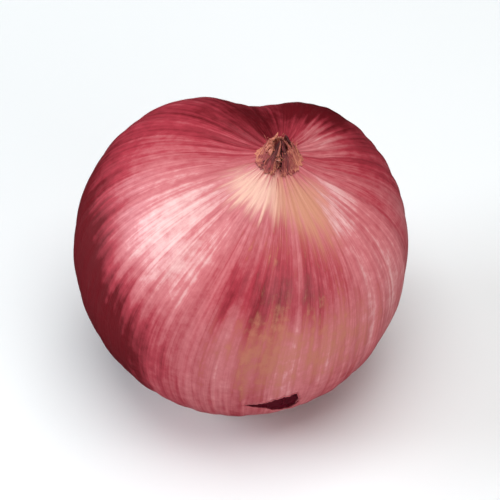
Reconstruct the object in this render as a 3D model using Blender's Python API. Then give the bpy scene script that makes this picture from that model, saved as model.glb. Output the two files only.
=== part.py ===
"""Pink shallot: one dry bulb that stands on its root plate. Its axis bends, so that the short neck stands
off the middle, with a furrow between two lobes behind it. The neck ends in a torn papery lip. Low ribs run
from neck to root, and a tuft of dried rootlets lies round the plate. Metres, +Z up, origin at the middle
of the flat foot."""

import math
import random

import bmesh
import bpy
from mathutils import Matrix, Vector

# Driving dimensions, in metres
BULB_WIDTH = 0.0350  # across the two lobes, along X
BULB_DEPTH = 0.0341  # front to back, along Y
DOME_HEIGHT = 0.0328  # top of the body without its neck
NECK_HEIGHT = 0.0351  # the lip of the neck, without its one long point, before the bend
FOOT_RADIUS = 0.0032  # the flat spot of the root plate that the bulb stands on

# Heights and radii that follow from them
EQUATOR_HEIGHT = 0.48 * DOME_HEIGHT  # the widest ring lies a little below the middle
PLATE_RADIUS = 1.44 * FOOT_RADIUS  # the root plate, with its rounded rim
PLATE_HEIGHT = 0.0010
UNDERSIDE_HEIGHT = 0.0008  # the body's skin, where it tucks in behind the root plate
DOME_FULLNESS = 2.25  # 2 would be an ellipse, and more is squarer at the shoulders
NECK_RADIUS = 0.0017
LIP_RADIUS = 0.0014
LIP_THICKNESS = 0.0007
HOLLOW_DEPTH = 0.0015  # from the lip down into the dried neck

# The mesh of the body, and the share of its rings that each stretch of the profile takes
SEGMENTS = 96
RINGS = 46
FOOT_SHARE = 0.045
PLATE_SHARE = 0.11
EQUATOR_SHARE = 0.48
NECK_FOOT_SHARE = 0.84
LIP_SHARE = 0.93
RIM_SHARE = 0.965

# The bulb's axis bends from the root up, so that the neck stands off the middle, to the front right
BEND = math.radians(17.5)
BEND_AZIMUTH = math.radians(-40)
NECK_LEAN = Vector((-0.0003, 0.0012, 0.0))  # back from the bend, from the neck's foot to its lip
NECK_RISE = 0.0009  # how far the skin sweeps up to the neck's foot
NECK_SWEEP = 0.0020  # and over what distance

# The furrow between the two lobes, behind the neck
FURROW_AZIMUTH = math.radians(97)
FURROW_WIDTH = math.radians(23)
FURROW_DEPTH = 0.0022
FURROW_HEIGHT = 0.80 * DOME_HEIGHT  # where it is deepest
FURROW_REACH = 0.0085  # how far it fades above and below that

# The slow swell of the girth, and the ribs of the papery skin
SWELL = 0.0004  # wider along X than along Y
SIDE_SWELL = 0.0002  # slightly three-sided
RIBS = 24
RIB_HEIGHT = 0.00009
NECK_RIB_HEIGHT = 0.00019  # where the ribs gather at the neck's foot
LIP_RIB_HEIGHT = 0.00010

# The neck has dried pinched: wider one way than the other
PINCH = 0.16
PINCH_AZIMUTH = math.radians(15)

# The torn lip of the neck: one long point and a few short ones
POINT_AZIMUTH = math.radians(170)
POINT_WIDTH = math.radians(34)
POINT_HEIGHT = 0.0013
LIP_TEETH = 5
TOOTH_HEIGHT = 0.00028

# Dried rootlets round the plate
ROOTLETS = 34
ROOTLET_RADIUS = 0.00032
ROOTLET_LENGTHS = (0.0026, 0.0052)
ROOTLET_POINTS = 6
ROOTLET_START = 0.9 * FOOT_RADIUS  # sunk well into the plate
ROOTLET_WANDER = 0.5  # how far a tip may turn aside, in radians
TRIMMED_AZIMUTH = math.radians(-90)  # the rootlets are shortest at the front
TRIMMED_WIDTH = 1.1
TRIMMED_SHARE = 0.6  # how much of them is gone there
ROOTLET_LIFTS = (0.15, 0.9)  # where a tip lies between the floor (0) and the skin above (1)
ROOTLET_TIP = 0.45  # thickness of the tip against the rest
ROOTLET_GAP = 0.00025  # clear of the floor and of the skin above
ROOTLET_SEED = 7

SKIN_COLOUR = (0.47, 0.075, 0.11, 1.0)

EQUATOR_RADIUS = BULB_WIDTH / 2 - SWELL - RIB_HEIGHT
DEPTH_SCALE = BULB_DEPTH / (BULB_WIDTH - 4.0 * SWELL)  # the swell adds to the width and takes from the depth
HEART = Vector((0.0, 0.0, EQUATOR_HEIGHT))
BEND_AXIS = Vector((-math.sin(BEND_AZIMUTH), math.cos(BEND_AZIMUTH), 0.0))


def between(low, high, share):
    """A number that goes from low to high as share goes from 0 to 1."""
    return low + (high - low) * share


def smooth(share):
    """0 to 1 with level ends."""
    share = min(1.0, max(0.0, share))
    return share * share * (3.0 - 2.0 * share)


def bell(offset, width):
    """1 at no offset, fading to 0 over a few widths."""
    return math.exp(-((offset / width) ** 2))


def turn_between(azimuth, other):
    """The signed angle from other to azimuth, from -pi to pi."""
    return math.remainder(azimuth - other, math.tau)


def underside(radius):
    """Height of the lower body at a distance from the axis: a quarter ellipse that is level at the plate."""
    reach = EQUATOR_RADIUS - PLATE_RADIUS
    out = min(1.0, (radius - PLATE_RADIUS) / reach)
    return between(EQUATOR_HEIGHT, UNDERSIDE_HEIGHT, math.sqrt(1.0 - out * out))


def profile(share):
    """Distance from the axis and height of the plain turned bulb, from foot (0) to the neck's hollow (1)."""
    if share <= FOOT_SHARE:
        return FOOT_RADIUS * share / FOOT_SHARE, 0.0
    if share <= PLATE_SHARE:
        angle = (share - FOOT_SHARE) / (PLATE_SHARE - FOOT_SHARE) * math.pi / 2
        return (
            between(FOOT_RADIUS, PLATE_RADIUS, math.sin(angle)),
            PLATE_HEIGHT * (1.0 - math.cos(angle)),
        )
    if share <= EQUATOR_SHARE:
        angle = (share - PLATE_SHARE) / (EQUATOR_SHARE - PLATE_SHARE) * math.pi / 2
        radius = between(PLATE_RADIUS, EQUATOR_RADIUS, math.sin(angle))
        return radius, underside(radius) + (PLATE_HEIGHT - UNDERSIDE_HEIGHT) * math.cos(angle)
    if share <= NECK_FOOT_SHARE:
        angle = (share - EQUATOR_SHARE) / (NECK_FOOT_SHARE - EQUATOR_SHARE) * math.pi / 2
        radius = between(NECK_RADIUS, EQUATOR_RADIUS, max(0.0, math.cos(angle)) ** (2.0 / DOME_FULLNESS))
        height = between(EQUATOR_HEIGHT, DOME_HEIGHT, math.sin(angle) ** (2.0 / DOME_FULLNESS))
        return radius, height + NECK_RISE * math.exp((NECK_RADIUS - radius) / NECK_SWEEP)
    if share <= LIP_SHARE:
        up = (share - NECK_FOOT_SHARE) / (LIP_SHARE - NECK_FOOT_SHARE)
        return between(NECK_RADIUS, LIP_RADIUS, up), between(DOME_HEIGHT + NECK_RISE, NECK_HEIGHT, up)
    if share <= RIM_SHARE:
        over = (share - LIP_SHARE) / (RIM_SHARE - LIP_SHARE)
        return LIP_RADIUS - LIP_THICKNESS * over, NECK_HEIGHT
    into = (share - RIM_SHARE) / (1.0 - RIM_SHARE)
    return (LIP_RADIUS - LIP_THICKNESS) * (1.0 - into), NECK_HEIGHT - HOLLOW_DEPTH * into


def furrow(azimuth, share, height):
    """How far the skin is drawn in between the two lobes, towards the heart of the bulb."""
    across = bell(turn_between(azimuth, FURROW_AZIMUTH), FURROW_WIDTH)
    ends = smooth((NECK_FOOT_SHARE - share) / PLATE_SHARE)
    return FURROW_DEPTH * across * ends * bell(height - FURROW_HEIGHT, FURROW_REACH)


def ribs(azimuth, share):
    """The low ribs of the skin, which stand out more as they gather into the neck."""
    if not PLATE_SHARE < share < LIP_SHARE:
        return 0.0
    gather = smooth((share - EQUATOR_SHARE) / (NECK_FOOT_SHARE - EQUATOR_SHARE)) ** 4
    fade = smooth((share - NECK_FOOT_SHARE) / (LIP_SHARE - NECK_FOOT_SHARE))
    rise = between(between(RIB_HEIGHT, NECK_RIB_HEIGHT, gather), LIP_RIB_HEIGHT, fade)
    return rise * smooth((share - PLATE_SHARE) / PLATE_SHARE) * math.cos(RIBS * azimuth)


def pinch(azimuth, radius, share):
    """How much wider the dried neck is one way, with the skin close to it, and narrower the other."""
    if share < EQUATOR_SHARE:
        return 0.0
    near = bell(max(0.0, radius - NECK_RADIUS), NECK_SWEEP)
    return radius * PINCH * near * math.cos(2.0 * turn_between(azimuth, PINCH_AZIMUTH))


def torn_lip(azimuth, share):
    """How far the lip stands above its plain height."""
    up = smooth((share - NECK_FOOT_SHARE) / (LIP_SHARE - NECK_FOOT_SHARE))
    down = 1.0 - smooth((share - RIM_SHARE) / (1.0 - RIM_SHARE))
    point = POINT_HEIGHT * bell(turn_between(azimuth, POINT_AZIMUTH), POINT_WIDTH)
    return (point + TOOTH_HEIGHT * math.cos(LIP_TEETH * azimuth)) * up * down


def bulb_point(azimuth, share):
    """A point of the bulb's surface, in the part's frame."""
    radius, height = profile(share)
    girth = math.sin(math.pi * min(1.0, share / NECK_FOOT_SHARE))
    swell = SWELL * math.cos(2.0 * azimuth) + SIDE_SWELL * math.sin(3.0 * azimuth)
    out = radius + swell * girth + ribs(azimuth, share) + pinch(azimuth, radius, share)
    above = height - EQUATOR_HEIGHT
    kept = 1.0 - furrow(azimuth, share, height) / math.hypot(out, above)
    from_heart = Vector((
        out * kept * math.cos(azimuth),
        out * kept * math.sin(azimuth) * DEPTH_SCALE,
        above * kept + torn_lip(azimuth, share),
    ))
    lean = max(0.0, height - DOME_HEIGHT) / (NECK_HEIGHT - DOME_HEIGHT)
    turned = Matrix.Rotation(BEND * smooth(height / DOME_HEIGHT), 3, BEND_AXIS) @ from_heart
    return HEART + turned + NECK_LEAN * lean


def new_object(name, mesh, collection):
    made = bpy.data.objects.new(name, mesh)
    collection.objects.link(made)
    return made


def make_bulb(collection):
    """The whole bulb from a sphere, each of whose vertices is moved to its place on the shallot."""
    shape = bmesh.new()
    bmesh.ops.create_uvsphere(shape, u_segments=SEGMENTS, v_segments=RINGS, radius=1.0)
    for vertex in shape.verts:
        share = math.acos(max(-1.0, min(1.0, -vertex.co.z))) / math.pi
        vertex.co = bulb_point(math.atan2(vertex.co.y, vertex.co.x), share)
    mesh = bpy.data.meshes.new("bulb")
    shape.to_mesh(mesh)
    shape.free()
    return new_object("bulb", mesh, collection)


def rootlet_route(draw):
    """The points of one rootlet: out of the plate's rim, then between the floor and the body's underside."""
    azimuth = draw.uniform(-math.pi, math.pi)
    wander = draw.uniform(-ROOTLET_WANDER, ROOTLET_WANDER)
    trimmed = TRIMMED_SHARE * bell(turn_between(azimuth, TRIMMED_AZIMUTH), TRIMMED_WIDTH)
    length = draw.uniform(*ROOTLET_LENGTHS) * (1.0 - trimmed)
    lift = draw.uniform(*ROOTLET_LIFTS)
    points = []
    for step in range(ROOTLET_POINTS):
        along = step / (ROOTLET_POINTS - 1)
        radius = ROOTLET_START + length * along
        turned = azimuth + wander * along * along
        low = ROOTLET_RADIUS + ROOTLET_GAP
        high = max(low, underside(max(radius, PLATE_RADIUS)) - ROOTLET_RADIUS - ROOTLET_GAP)
        height = between(low, high, lift * smooth(2.0 * along))
        points.append(Vector((
            radius * math.cos(turned),
            radius * math.sin(turned) * DEPTH_SCALE,
            height,
        )))
    return points


def make_rootlet(name, points, collection):
    """One rootlet as a closed mesh: a tapered four-sided tube along its points."""
    curve = bpy.data.curves.new(name, "CURVE")
    curve.dimensions = "3D"
    curve.bevel_depth = ROOTLET_RADIUS
    curve.bevel_resolution = 0
    curve.use_fill_caps = True
    spline = curve.splines.new("POLY")
    spline.points.add(len(points) - 1)
    for place, (point, end) in enumerate(zip(spline.points, points)):
        point.co = (*end, 1.0)
        point.radius = between(1.0, ROOTLET_TIP, place / (len(points) - 1))
    guide = new_object(name, curve, collection)
    graph = bpy.context.evaluated_depsgraph_get()
    mesh = bpy.data.meshes.new_from_object(guide.evaluated_get(graph))
    bpy.data.objects.remove(guide)
    shape = bmesh.new()
    shape.from_mesh(mesh)
    bmesh.ops.remove_doubles(shape, verts=shape.verts, dist=1e-6)
    bmesh.ops.recalc_face_normals(shape, faces=shape.faces)
    shape.to_mesh(mesh)
    shape.free()
    return new_object(name, mesh, collection)


def fuse_rootlets(bulb):
    """Grows the tuft of rootlets on the bulb, as one solid with it."""
    tuft = bpy.data.collections.new("rootlets")
    bpy.context.scene.collection.children.link(tuft)
    draw = random.Random(ROOTLET_SEED)
    for number in range(ROOTLETS):
        make_rootlet(f"rootlet_{number:02d}", rootlet_route(draw), tuft)
    union = bulb.modifiers.new("rootlets", "BOOLEAN")
    union.operation = "UNION"
    union.operand_type = "COLLECTION"
    union.collection = tuft
    union.solver = "EXACT"
    graph = bpy.context.evaluated_depsgraph_get()
    fused = bpy.data.meshes.new_from_object(bulb.evaluated_get(graph))
    bulb.modifiers.clear()
    bulb.data = fused
    for rootlet in list(tuft.objects):
        bpy.data.objects.remove(rootlet)
    bpy.data.collections.remove(tuft)


def skin_material():
    """The dry outer scale: a thin, dull-glossy papery skin, dark pink."""
    material = bpy.data.materials.new("shallot skin")
    material.use_nodes = True
    shader = material.node_tree.nodes["Principled BSDF"]
    shader.inputs["Base Color"].default_value = SKIN_COLOUR
    shader.inputs["Roughness"].default_value = 0.4
    shader.inputs["Metallic"].default_value = 0.0
    return material


def main():
    for old in list(bpy.data.objects):
        bpy.data.objects.remove(old)
    shallot = bpy.data.collections.new("pink shallot")
    bpy.context.scene.collection.children.link(shallot)
    bulb = make_bulb(shallot)
    fuse_rootlets(bulb)
    bulb.data.materials.clear()
    bulb.data.materials.append(skin_material())
    bulb.data.shade_smooth()


main()
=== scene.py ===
"""Pink shallot: the looks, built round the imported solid. Metres, +Z up; the camera stands on the -Y side."""

import math

import bpy
import numpy as np
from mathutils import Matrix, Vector


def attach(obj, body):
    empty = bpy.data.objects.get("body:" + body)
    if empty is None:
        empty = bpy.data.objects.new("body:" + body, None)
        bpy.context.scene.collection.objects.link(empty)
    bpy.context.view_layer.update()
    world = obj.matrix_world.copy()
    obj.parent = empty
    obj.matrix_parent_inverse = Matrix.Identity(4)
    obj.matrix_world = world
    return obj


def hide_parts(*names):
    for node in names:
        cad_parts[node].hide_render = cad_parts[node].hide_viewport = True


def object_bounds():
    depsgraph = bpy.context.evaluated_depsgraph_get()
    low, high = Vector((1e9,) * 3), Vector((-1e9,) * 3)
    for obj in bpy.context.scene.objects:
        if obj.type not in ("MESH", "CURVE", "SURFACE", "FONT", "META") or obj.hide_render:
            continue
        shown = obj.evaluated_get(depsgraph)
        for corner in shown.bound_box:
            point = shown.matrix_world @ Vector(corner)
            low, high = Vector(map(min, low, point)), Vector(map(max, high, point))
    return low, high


bl_info = {
    "name": "Pink shallot",
    "version": (1, 0, 0),
    "blender": (4, 5, 0),
    "location": "3D View > Sidebar > Shallot",
    "description": "Dresses a shallot bulb with its papery skin, torn neck, root plate and rootlets",
    "category": "Add Mesh",
}

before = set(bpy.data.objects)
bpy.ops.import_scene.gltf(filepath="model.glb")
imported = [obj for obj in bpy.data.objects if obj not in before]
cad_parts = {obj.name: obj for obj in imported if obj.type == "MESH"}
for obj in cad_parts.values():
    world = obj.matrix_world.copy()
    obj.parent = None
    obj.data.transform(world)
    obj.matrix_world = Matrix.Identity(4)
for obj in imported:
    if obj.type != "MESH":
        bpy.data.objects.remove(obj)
CAD_LOW, CAD_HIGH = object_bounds()

BODY = "root"
NODE = "bulb"
MM = 0.001
TURN = math.tau

# The share of the way from the foot to the neck's hollow at which each stretch of the profile ends
FOOT_SHARE = 0.045
PLATE_SHARE = 0.11
EQUATOR_SHARE = 0.48
NECK_FOOT_SHARE = 0.84
LIP_SHARE = 0.93
RIM_SHARE = 0.965

EQUATOR_LEVEL = 0.48  # of the dome's height
FURROW_LEVEL = 0.80  # of the dome's height
PLATE_REACH = 1.44  # the plate's radius against the foot's

SKIN_SEGMENTS = 440
MERIDIAN_MM = 60.0  # from the foot's middle over the body to the neck, for the unrolled skin
SLIT_REACH = 0.02  # how far from its edge the slit's depth is reckoned, as a share
# The ragged edge of the slit: waves along it, where each starts, and how much it adds
SLIT_WAVES = ((7.3, 0.6, 0.09), (17.7, 1.0, 0.06), (41.0, 0.0, 0.03))

ADD_UP = {"operation": "MULTIPLY_ADD"}  # for a math node: a source times its weight, added to a sum


def srgb(code):
    """A #rrggbb colour as linear red, green, blue and alpha."""
    parts = [int(code[place:place + 2], 16) / 255.0 for place in (1, 3, 5)]
    return [part / 12.92 if part <= 0.04045 else ((part + 0.055) / 1.055) ** 2.4 for part in parts] + [1.0]


def length(name, description, default):
    """A property that holds a length in metres."""
    return bpy.props.FloatProperty(
        name=name, description=description, default=default, unit="LENGTH", precision=5
    )


def angle(name, description, degrees):
    """A property that holds an angle, given here in degrees."""
    return bpy.props.FloatProperty(
        name=name, description=description, default=math.radians(degrees), subtype="ANGLE"
    )


def number(name, description, default):
    """A property that holds a plain number."""
    return bpy.props.FloatProperty(name=name, description=description, default=default, precision=4)


def count(name, description, default):
    """A property that holds how many there are."""
    return bpy.props.IntProperty(name=name, description=description, default=default, min=1)


def colour(name, description, default):
    """A property that holds a colour, given here as #rrggbb."""
    return bpy.props.FloatVectorProperty(
        name=name, description=description, default=srgb(default), subtype="COLOR", size=4,
        min=0.0, max=1.0,
    )


class ShallotForm(bpy.types.PropertyGroup):
    """The sizes of the bulb's outer shape."""

    bulb_width: length("Bulb width", "Across the two lobes, along X", 0.0350)
    bulb_depth: length("Bulb depth", "Front to back, along Y", 0.0341)
    dome_height: length("Dome height", "Top of the body without its neck, before the bend", 0.0328)
    neck_height: length("Neck height", "The lip of the neck, before the bend", 0.0351)
    foot_radius: length("Foot radius", "The flat spot that the bulb stands on", 0.0032)
    plate_height: length("Plate height", "Where the plate's rim meets the skin", 0.0010)
    underside_height: length("Underside height", "The skin, where it tucks in behind the plate", 0.0008)
    dome_fullness: number("Dome fullness", "2 is an ellipse, and more is squarer", 2.25)
    neck_radius: length("Neck radius", "At the neck's foot", 0.0017)
    lip_radius: length("Lip radius", "At the neck's lip", 0.0012)
    lip_thickness: length("Lip thickness", "The papery wall of the neck", 0.0002)
    hollow_depth: length("Hollow depth", "From the lip down into the dried neck", 0.0019)
    neck_rise: length("Neck rise", "How far the skin sweeps up to the neck's foot", 0.0009)
    neck_sweep: length("Neck sweep", "Over what distance the skin sweeps up", 0.0020)
    bend: angle("Bend", "How far the bulb's axis leans over at its neck", 17.5)
    bend_azimuth: angle("Bend azimuth", "Which way the axis leans", -40.0)
    lean_left: length("Lean to the left", "From the neck's foot to its lip", 0.0003)
    lean_back: length("Lean to the back", "From the neck's foot to its lip", 0.0012)
    furrow_azimuth: angle("Furrow azimuth", "Where the furrow between the lobes runs", 97.0)
    furrow_width: angle("Furrow width", "How wide the furrow is", 23.0)
    furrow_depth: length("Furrow depth", "How far the skin is drawn in", 0.0022)
    furrow_reach: length("Furrow reach", "How far the furrow fades up and down", 0.0085)
    swell: length("Swell", "Wider along X than along Y by this much each side", 0.0004)
    side_swell: length("Side swell", "The three-sided part of the girth", 0.0002)
    ribs: count("Ribs", "Low ribs round the bulb", 24)
    rib_height: length("Rib height", "On the body", 0.00004)
    neck_rib_height: length("Neck rib height", "Where the ribs gather", 0.00009)
    lip_rib_height: length("Lip rib height", "At the lip", 0.00006)
    pinch: number("Pinch", "How much the neck is wider one way than the other", 0.16)
    pinch_azimuth: angle("Pinch azimuth", "Which way the neck is wide", 15.0)
    point_azimuth: angle("Point azimuth", "Where the lip runs out into one long point", 170.0)
    point_width: angle("Point width", "How wide the long point is", 34.0)
    point_height: length("Point height", "How far the long point stands up", 0.0007)


class SkinFinish(bpy.types.PropertyGroup):
    """The relief and the colours of the dry outer scale."""

    seed: count("Seed", "Of the wrinkles and dents", 11)
    flute_depth: length("Flute depth", "Shallow flutes pressed through from the flesh", 0.00009)
    dent_depth: length("Dent depth", "Slow dents of the body", 0.00022)
    wrinkle_depth: length("Wrinkle depth", "Folds of skin that gather at neck and root", 0.00006)
    fray: number("Fray", "How unevenly the zones of colour end, as a share of the way up", 0.021)
    tear_azimuth: angle("Tear azimuth", "Middle of the torn slit", -77.0)
    tear_turn: angle("Tear turn", "Half the slit's length", 11.5)
    tear_share: number("Tear height", "Middle of the slit, as a share of the way up", 0.380)
    tear_tilt: number("Tear tilt", "How much higher the slit's left end lies, as a share", 0.010)
    tear_curl: number("Tear curl", "How wide its curled edges are at most, as a share", 0.0048)
    tear_half: number("Tear half height", "At the slit's wide end, as a share", 0.056)
    tear_depth: length("Tear depth", "How far the next scale lies below", 0.00032)
    # Deep crimson is also the colour of the painted shade on the left flank and in the furrow
    deep: colour("Deep crimson", "Where the pigment is densest", "#6a0614")
    crimson: colour("Crimson", "The body of the pigment", "#ab3442")
    rose: colour("Rose", "Where the pigment is thin", "#cd767a")
    # Blush is also the colour of the painted highlight on the pale cheek
    blush_and_highlight: colour("Blush", "Where there is hardly any pigment", "#eabebb")
    tan: colour("Tan", "The dried outermost film", "#c47a61")
    cream: colour("Cream", "Dry fibre at the neck, on the left", "#f4c8b2")
    gold: colour("Gold", "Dry fibre at the neck, on the right", "#d39476")
    # The moist scale's colour is partly its own dark crimson and partly painted shade of the slit
    moist: colour("Moist scale", "The next scale, seen through the tear", "#56081a")


class NeckFinish(bpy.types.PropertyGroup):
    """The papers and fibres of the dried neck."""

    seed: count("Seed", "Of the papers and fibres", 23)
    papers: count("Papers", "Ragged dried leaf bases round the neck", 11)
    fibres: count("Fibres", "Loose threads at the torn lip", 12)
    cleft_azimuth: angle("Cleft azimuth", "Where the papers part at the front", -92.0)
    cleft_width: angle("Cleft width", "Half the gap between the papers", 24.0)
    cleft_depth: length("Cleft depth", "How far the neck's wall is pressed in there", 0.0009)
    lip_wear: length("Lip wear", "How far the lip is worn down in places", 0.0007)
    paper_thickness: length("Paper thickness", "Of one dried leaf base", 0.00007)
    crumple: length("Crumple", "How deep the papers are crumpled", 0.00013)
    pale: colour("Pale paper", "Sun-bleached foot of a leaf base", "#cb7c62")
    tan: colour("Tan paper", "Dried leaf base", "#8a3233")
    # Brown is partly the shrivelled core's own colour and partly painted shade of the neck's hollow
    brown_and_shade: colour("Brown paper", "Shrivelled inside", "#34090d")


class RootFinish(bpy.types.PropertyGroup):
    """The root plate and its rootlets."""

    seed: count("Seed", "Of the rootlets and the plate's rim", 5)
    rootlets: count("Rootlets", "Dried rootlets round the plate", 150)
    rootlet_radius: length("Rootlet radius", "At the plate", 0.00014)
    trimmed_azimuth: angle("Trimmed azimuth", "Where the rootlets are cut shortest", -90.0)
    rootlet_shortest: length("Shortest rootlet", "From the plate's rim to its tip", 0.0018)
    rootlet_longest: length("Longest rootlet", "From the plate's rim to its tip", 0.0054)
    ring_spacing: length("Ring spacing", "Between two rings of the plate", 0.00062)
    ring_depth: length("Ring depth", "Of the plate's grooves", 0.00013)
    plate_top: length("Plate top", "Inside the skin, out of sight", 0.0014)
    hem_flaps: count("Hem flaps", "Torn ends of the skin round the plate", 15)
    hem_thickness: length("Hem thickness", "Of the torn skin", 0.00007)
    cork: colour("Cork", "The plate's dry cork", "#a67c52")
    cork_dark: colour("Dark cork", "The plate's grooves and middle", "#4e3220")
    straw: colour("Straw", "A rootlet's tip", "#cba678")
    soil: colour("Soil", "A rootlet's foot", "#6e4a2f")
    hem: colour("Hem", "Torn skin that has dried to straw", "#c79a78")
    hem_dark: colour("Dark hem", "Torn skin that has kept its pigment", "#8d3b3c")


class StageSetting(bpy.types.PropertyGroup):
    """The floor, the lights and the camera."""

    frame_width: length("Frame width", "What the camera takes in at the bulb", 0.0520)
    camera_distance: length("Camera distance", "From the bulb's middle", 0.90)
    camera_elevation: angle("Camera elevation", "Above the horizon", 45.0)
    floor_radius: length("Floor radius", "Of the pale board", 4.0)
    floor: colour("Floor", "Matt white board", "#f2f5f5")
    ambient: number("Ambient", "Strength of the white room", 0.14)
    key_azimuth: angle("Key azimuth", "Where the large soft light stands", 182.0)
    key_elevation: angle("Key elevation", "How high it stands", 20.0)
    key_distance: length("Key distance", "From the bulb's middle", 0.42)
    key_power: number("Key power", "In watts", 1.43)
    key_colour: colour("Key colour", "Cool daylight from a window on the left", "#f2f8ff")
    top_power: number("Top power", "The soft light above, in watts", 3.2)
    fill_power: number("Fill power", "The weak light low at the front right, in watts", 1.08)


def between(low, high, share):
    """A number that goes from low to high as share goes from 0 to 1."""
    return low + (high - low) * share


def stretch(share, start, end):
    """How far share has gone from start to end, held between 0 and 1."""
    return np.clip((share - start) / (end - start), 0.0, 1.0)


def smooth(share):
    """0 to 1 with level ends."""
    share = np.clip(share, 0.0, 1.0)
    return share * share * (3.0 - 2.0 * share)


def bell(offset, width):
    """1 at no offset, fading to 0 over a few widths."""
    return np.exp(-((offset / width) ** 2))


def turn_between(azimuth, other):
    """The signed angle from other to azimuth, from -pi to pi."""
    return np.mod(azimuth - other + math.pi, TURN) - math.pi


def equator_radius(form):
    """The radius of the widest girth, before it swells along X."""
    return form.bulb_width / 2 - form.swell - form.rib_height


def depth_scale(form):
    """How much the round body is drawn in along Y, which the swell has narrowed already."""
    return form.bulb_depth / (form.bulb_width - 4.0 * form.swell)


def equator_height(form):
    """The height of the widest girth."""
    return EQUATOR_LEVEL * form.dome_height


def plate_radius(form):
    """The radius of the root plate's rim."""
    return PLATE_REACH * form.foot_radius


def underside(form, radius):
    """Height of the lower body at a distance from the axis."""
    out = stretch(radius, plate_radius(form), equator_radius(form))
    return between(equator_height(form), form.underside_height, np.sqrt(1.0 - out * out))


def profile(form, share):
    """Distance from the axis and height of the plain turned bulb, from the foot (0) to the hollow (1)."""
    wide, level = equator_radius(form), equator_height(form)
    foot = stretch(share, 0.0, FOOT_SHARE)
    plate = stretch(share, FOOT_SHARE, PLATE_SHARE) * math.pi / 2
    lower = stretch(share, PLATE_SHARE, EQUATOR_SHARE) * math.pi / 2
    upper = stretch(share, EQUATOR_SHARE, NECK_FOOT_SHARE) * math.pi / 2
    neck = stretch(share, NECK_FOOT_SHARE, LIP_SHARE)
    rim = stretch(share, LIP_SHARE, RIM_SHARE)
    hollow = stretch(share, RIM_SHARE, 1.0)
    power = 2.0 / form.dome_fullness
    lower_radius = between(plate_radius(form), wide, np.sin(lower))
    upper_radius = between(form.neck_radius, wide, np.clip(np.cos(upper), 0.0, 1.0) ** power)
    inner = form.lip_radius - form.lip_thickness
    stretch_ends = (FOOT_SHARE, PLATE_SHARE, EQUATOR_SHARE, NECK_FOOT_SHARE, LIP_SHARE, RIM_SHARE)
    ends = [share <= end for end in stretch_ends]
    radius = np.select(ends, [
        form.foot_radius * foot,
        between(form.foot_radius, plate_radius(form), np.sin(plate)),
        lower_radius,
        upper_radius,
        between(form.neck_radius, form.lip_radius, neck),
        form.lip_radius - form.lip_thickness * rim,
    ], inner * (1.0 - hollow))
    height = np.select(ends, [
        0.0 * foot,
        form.plate_height * (1.0 - np.cos(plate)),
        underside(form, lower_radius) + (form.plate_height - form.underside_height) * np.cos(lower),
        between(level, form.dome_height, np.sin(upper) ** power)
        + form.neck_rise * np.exp((form.neck_radius - upper_radius) / form.neck_sweep),
        between(form.dome_height + form.neck_rise, form.neck_height, neck),
        form.neck_height + 0.0 * rim,
    ], form.neck_height - form.hollow_depth * hollow)
    return radius, height


def upright_point(form, out, azimuth, height):
    """Points at a distance out from the upright axis, with the body drawn in along Y."""
    return np.stack(np.broadcast_arrays(
        out * np.cos(azimuth), out * np.sin(azimuth) * depth_scale(form), height
    ), axis=-1)


def bent(form, out, azimuth, above, height):
    """Points that lie out from the upright axis and above the equator, moved with the bend of the axis,
    which grows with their height."""
    upright = upright_point(form, out, azimuth, above)
    axis = np.array([-math.sin(form.bend_azimuth), math.cos(form.bend_azimuth), 0.0])
    turn = (form.bend * smooth(height / form.dome_height))[..., None]
    along = (upright @ axis)[..., None] * axis
    turned = along + (upright - along) * np.cos(turn) + np.cross(axis, upright) * np.sin(turn)
    lean = np.maximum(0.0, height - form.dome_height) / (form.neck_height - form.dome_height)
    lean = lean[..., None] * np.array([-form.lean_left, form.lean_back, 0.0])
    return turned + lean + np.array([0.0, 0.0, equator_height(form)])


def pinch(form, azimuth, radius):
    """How much wider the dried neck is one way, with the skin close to it, and narrower the other."""
    near_neck = bell(np.maximum(0.0, radius - form.neck_radius), form.neck_sweep)
    return radius * form.pinch * near_neck * np.cos(2.0 * (azimuth - form.pinch_azimuth))


def bulb_point(form, azimuth, share, torn=0.0):
    """Points of the bulb's surface: the CAD solid's formula, for arrays of azimuths and shares. Torn is
    how far the neck's lip is worn down."""
    radius, height = profile(form, share)
    girth = np.sin(math.pi * np.minimum(1.0, share / NECK_FOOT_SHARE))
    swell = form.swell * np.cos(2.0 * azimuth) + form.side_swell * np.sin(3.0 * azimuth)
    near = smooth(stretch(share, EQUATOR_SHARE, NECK_FOOT_SHARE)) ** 4
    fade = smooth(stretch(share, NECK_FOOT_SHARE, LIP_SHARE))
    rib = between(between(form.rib_height, form.neck_rib_height, near), form.lip_rib_height, fade)
    rib = rib * smooth((share - PLATE_SHARE) / PLATE_SHARE)
    rib = rib * np.cos(form.ribs * azimuth) * (share < LIP_SHARE)
    out = radius + swell * girth + rib + pinch(form, azimuth, radius) * (share > EQUATOR_SHARE)
    above = height - equator_height(form)
    across = bell(turn_between(azimuth, form.furrow_azimuth), form.furrow_width)
    along = bell(height - FURROW_LEVEL * form.dome_height, form.furrow_reach)
    ends = smooth((NECK_FOOT_SHARE - share) / PLATE_SHARE)
    kept = 1.0 - form.furrow_depth * across * along * ends / np.hypot(out, above)
    up = fade * (1.0 - smooth(stretch(share, RIM_SHARE, 1.0)))
    point = form.point_height * bell(turn_between(azimuth, form.point_azimuth), form.point_width)
    return bent(form, out * kept, azimuth, above * kept + (point - torn) * up, height)


def ripples(draw, azimuth, share, turns, climbs, waves=9):
    """A random pattern from -1 to 1 that closes round the bulb: waves with whole numbers of turns."""
    total = np.zeros(np.broadcast(azimuth, share).shape)
    for _ in range(waves):
        turn = draw.integers(turns[0], turns[1] + 1)
        climb = draw.uniform(-climbs, climbs)
        total += np.cos(turn * azimuth + climb * TURN * share + draw.uniform(0.0, TURN))
    return np.clip(total / math.sqrt(2.0 * waves), -1.0, 1.0)


def unit(vectors):
    """Vectors of length 1 that point the same way."""
    return vectors / np.maximum(np.linalg.norm(vectors, axis=-1, keepdims=True), 1e-12)


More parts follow.
